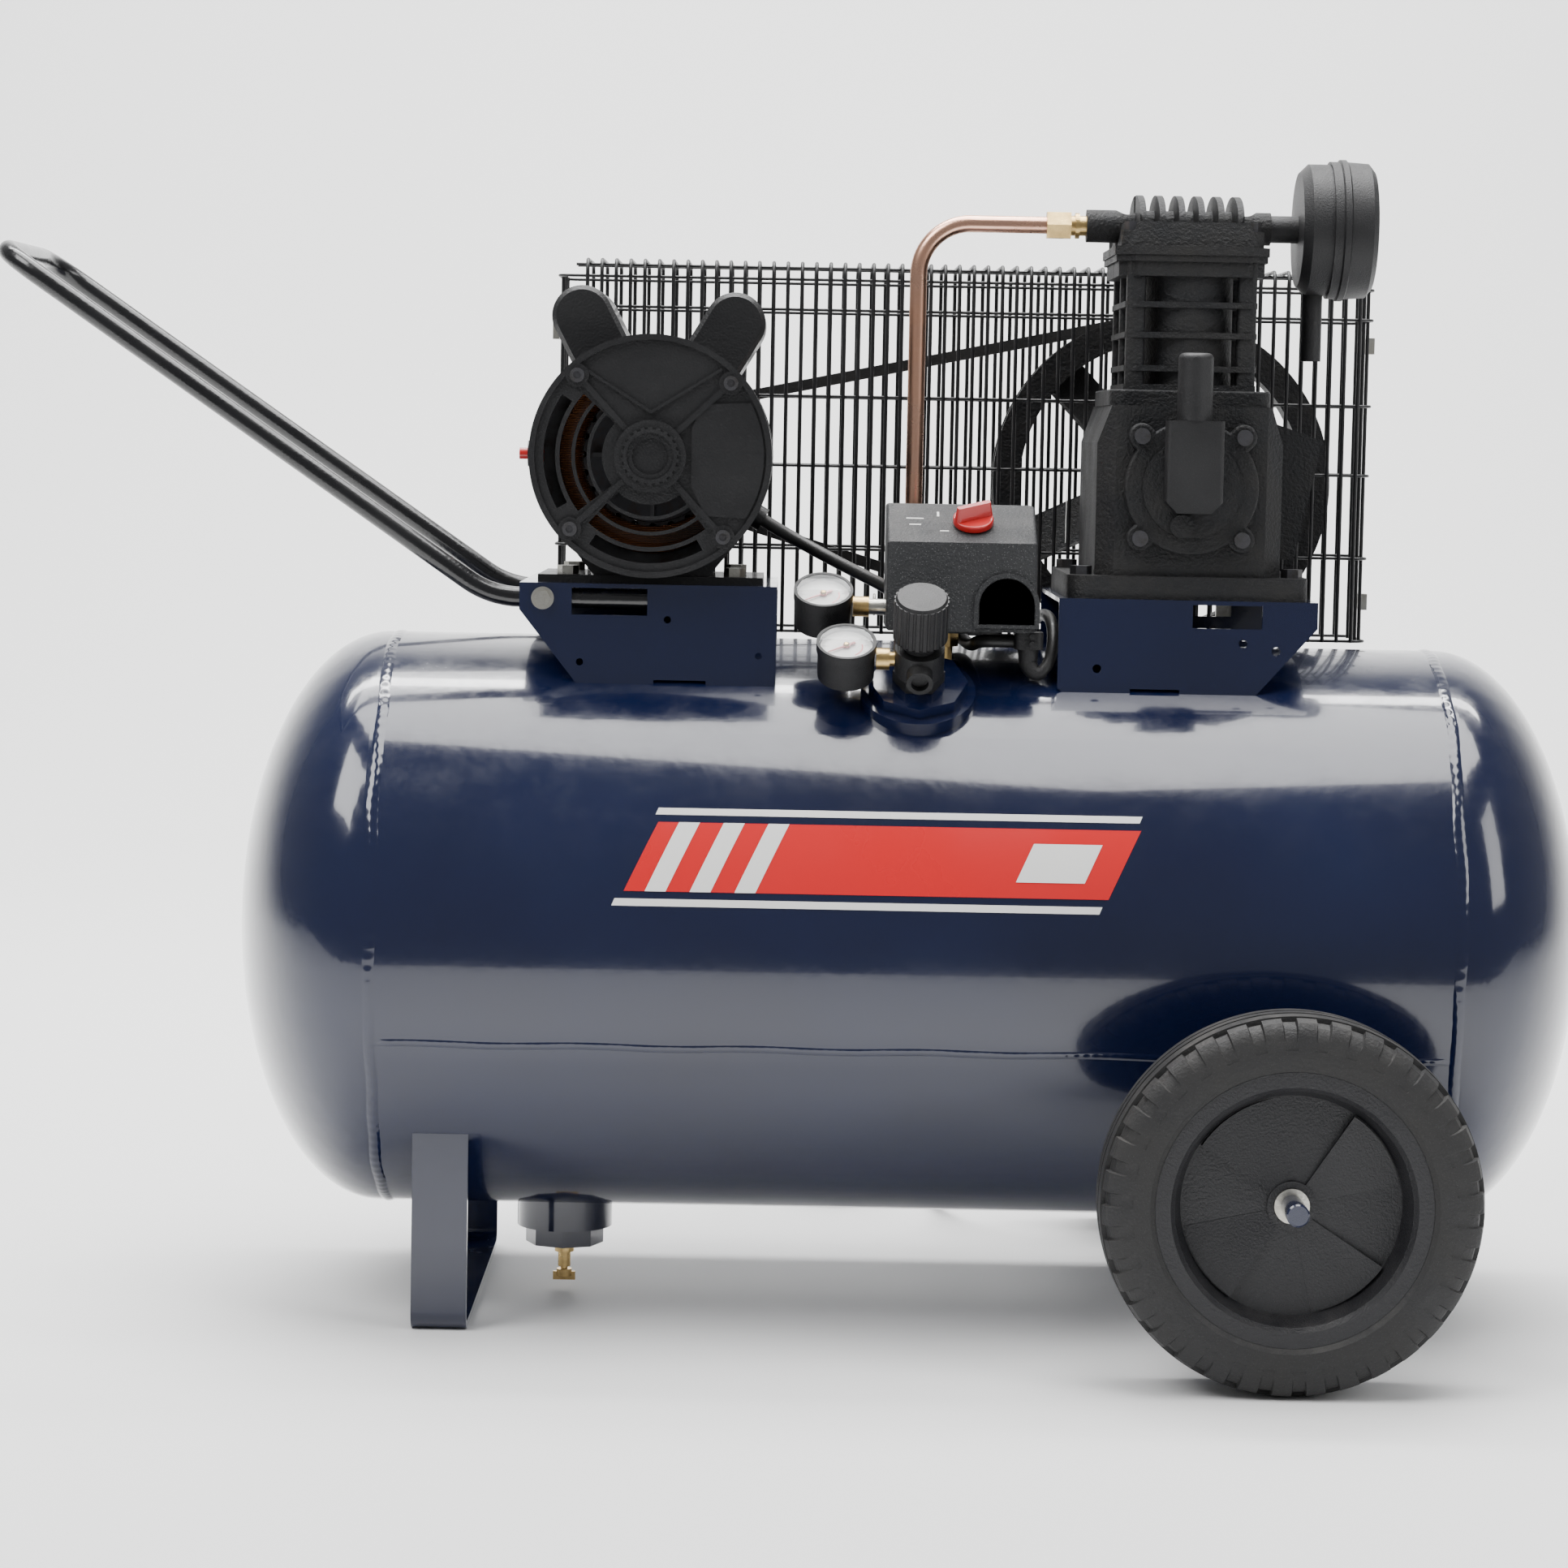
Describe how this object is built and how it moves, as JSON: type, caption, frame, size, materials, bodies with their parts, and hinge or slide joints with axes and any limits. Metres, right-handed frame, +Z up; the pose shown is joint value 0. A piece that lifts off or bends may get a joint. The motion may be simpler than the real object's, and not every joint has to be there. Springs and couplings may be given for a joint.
{
  "type": "air compressor",
  "caption": "Portable belt-driven piston air compressor: electric motor and two-cylinder pump on a horizontal tank with wheels, foot, handle, belt guard, gauges and mains cord.",
  "frame": {"origin": "middle of the footprint on the floor, under the centre of the bounding box of everything but the mains cord", "axes": "+X along the tank from the handle to the wheels, +Y from the gauge side to the belt guard, +Z up"},
  "size_m": [1.113, 0.7768, 0.8165],
  "materials": {
    "tank_paint": "gloss",
    "black_steel": "satin",
    "motor_black": "satin",
    "cast_iron": "matt",
    "aluminium": "satin",
    "steel": "satin",
    "zinc": "bright",
    "brass": "bright",
    "copper": "bright",
    "rubber": "matt",
    "tyre": "matt",
    "black_plastic": "matt",
    "switch_plastic": "textured",
    "red_plastic": "gloss",
    "red_paint": "gloss",
    "windings": "gloss",
    "paper": "matt",
    "dark_pane": "gloss"
  },
  "bodies": {
    "frame": {"axle_brackets": "tank_paint", "bearings": "steel", "brass_fittings": "brass", "breather": "black_plastic", "capacitor_covers": "black_steel", "capacitors": "aluminium", "cord_clamp": "black_plastic", "cord_coil": "rubber", "crankcase": "cast_iron", "crankcase_cover": "cast_iron", "cylinder_block": "cast_iron", "cylinder_head": "cast_iron", "discharge_tube": "copper", "drive_belt": "rubber", "filter_base": "black_plastic", "filter_cover": "black_plastic", "filter_element": "paper", "foot": "tank_paint", "frame_bolts": "zinc", "gauge_cases": "black_plastic", "guard_back": "black_steel", "guard_front": "black_steel", "handle": "black_steel", "motor_bolts": "steel", "motor_front_bell": "motor_black", "motor_lead": "rubber", "motor_rear_bell": "motor_black", "motor_saddle": "tank_paint", "motor_shell": "motor_black", "plug": "black_plastic", "power_cord": "rubber", "pressure_switch_base": "black_plastic", "pressure_switch_cover": "switch_plastic", "pump_bolts": "black_steel", "pump_saddle": "tank_paint", "regulator_body": "black_plastic", "safety_valve": "zinc", "stator_core": "steel", "stator_windings": "windings", "tank_heads": "tank_paint", "tank_shell": "tank_paint", "valve_plate": "cast_iron"},
    "wheel_front_body": {"wheel_front": "black_plastic", "tyre_front": "tyre"},
    "wheel_rear_body": {"wheel_rear": "black_plastic", "tyre_rear": "tyre"},
    "crank": {"crankshaft": "steel", "flywheel": "cast_iron"},
    "motor_armature": {"motor_shaft": "steel", "rotor": "steel", "motor_pulley": "cast_iron"},
    "piston_front_body": {"piston_front": "aluminium"},
    "piston_rear_body": {"piston_rear": "aluminium"},
    "switch_knob_body": {"switch_knob": "red_plastic"},
    "regulator_knob_body": {"regulator_knob": "black_plastic"},
    "reset_button_body": {"reset_button": "red_plastic"},
    "drain_screw_body": {"drain_screw": "brass"},
    "safety_ring_body": {"safety_ring": "zinc"},
    "tank_needle_body": {"tank_needle": "red_paint"},
    "line_needle_body": {"line_needle": "red_paint"}
  },
  "joints": [
    {"name": "wheel_front_spin", "type": "hinge", "parent": "frame", "child": "wheel_front_body", "pos_m": [0.3277, -0.2857, 0.125], "axis": [0, 1, 0], "continuous": true},
    {"name": "wheel_rear_spin", "type": "hinge", "parent": "frame", "child": "wheel_rear_body", "pos_m": [0.3277, 0.2857, 0.125], "axis": [0, 1, 0], "continuous": true},
    {"name": "crank_spin", "type": "hinge", "parent": "frame", "child": "crank", "pos_m": [0.2695, 0, 0.585], "axis": [0, 1, 0], "continuous": true},
    {"name": "motor_spin", "type": "hinge", "parent": "frame", "child": "motor_armature", "pos_m": [-0.1015, 0, 0.6], "axis": [0, 1, 0], "continuous": true},
    {"name": "piston_front_stroke", "type": "slide", "parent": "frame", "child": "piston_front_body", "axis": [0, 0, 1], "range_m": [-0.04, 0]},
    {"name": "piston_rear_stroke", "type": "slide", "parent": "frame", "child": "piston_rear_body", "axis": [0, 0, 1], "range_m": [0, 0.04]},
    {"name": "switch_knob_turn", "type": "hinge", "parent": "frame", "child": "switch_knob_body", "pos_m": [0.1208, -0.0885, 0.5575], "axis": [0, -0.5027, 0.8645], "range_deg": [0, 90]},
    {"name": "regulator_turn", "type": "hinge", "parent": "frame", "child": "regulator_knob_body", "pos_m": [0.0845, -0.1106, 0.4388], "axis": [0, -0.5446, 0.8387], "range_deg": [-720, 720]},
    {"name": "reset_press", "type": "slide", "parent": "frame", "child": "reset_button_body", "axis": [1, 0, 0], "range_m": [0, 0.003], "stiffness_N_per_m": 400},
    {"name": "drain_turn", "type": "hinge", "parent": "frame", "child": "drain_screw_body", "pos_m": [-0.1582, 0, 0.06], "axis": [0, 0, 1], "range_deg": [-720, 0]},
    {"name": "safety_pull", "type": "slide", "parent": "frame", "child": "safety_ring_body", "axis": [0, 1, 0], "range_m": [0, 0.003], "stiffness_N_per_m": 600},
    {"name": "tank_gauge_turn", "type": "hinge", "parent": "frame", "child": "tank_needle_body", "pos_m": [0.0185, -0.095, 0.5108], "axis": [0, -0.5446, 0.8387], "range_deg": [-270, 0], "stiffness_Nm_per_rad": 0.002},
    {"name": "line_gauge_turn", "type": "hinge", "parent": "frame", "child": "line_needle_body", "pos_m": [0.0345, -0.135, 0.4773], "axis": [0, -0.5446, 0.8387], "range_deg": [-270, 0], "stiffness_Nm_per_rad": 0.002}
  ],
  "couplings": [
    {"joint": "motor_spin", "follows": "crank_spin", "ratio": 4},
    {"joint": "piston_rear_stroke", "follows": "piston_front_stroke", "ratio": -1}
  ]
}
